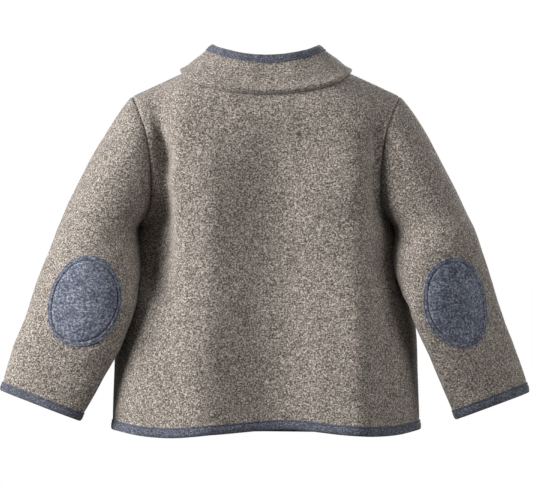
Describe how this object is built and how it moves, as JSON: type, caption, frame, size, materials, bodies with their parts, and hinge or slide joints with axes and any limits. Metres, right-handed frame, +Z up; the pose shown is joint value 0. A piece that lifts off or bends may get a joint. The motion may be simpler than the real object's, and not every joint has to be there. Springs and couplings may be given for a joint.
{
  "type": "child's wool jacket",
  "caption": "Hollow child's jacket of felted wool with a stand collar, set-in sleeves, bound edges, oval elbow patches and a buttoned front.",
  "frame": {"origin": "base of the neck, midway between the shoulders and midway between back and front, where the wearer's shoulders and neck carry the jacket", "axes": "+Z up, -Y out of the jacket's back, +Y out of its fronts, +X to the wearer's right"},
  "size_m": [0.5314, 0.1628, 0.3936],
  "materials": {
    "wool": "taupe melange felted wool with a fine matt nap",
    "jersey": "blue-grey melange jersey strip with a row of stitches",
    "patch_felt": "blue-grey melange felt, sewn on with two rows of stitches",
    "button": "plain brown-grey button, satin"
  },
  "bodies": {
    "root": {"back": "wool", "front_left": "wool", "front_right": "wool", "sleeve_left": "wool", "sleeve_right": "wool", "collar": "wool", "collar_binding": "jersey", "hem_binding": "jersey", "cuff_binding_left": "jersey", "cuff_binding_right": "jersey", "elbow_patch_left": "patch_felt", "elbow_patch_right": "patch_felt", "button_1": "button", "button_2": "button", "button_3": "button", "button_4": "button", "button_5": "button"}
  },
  "joints": []
}
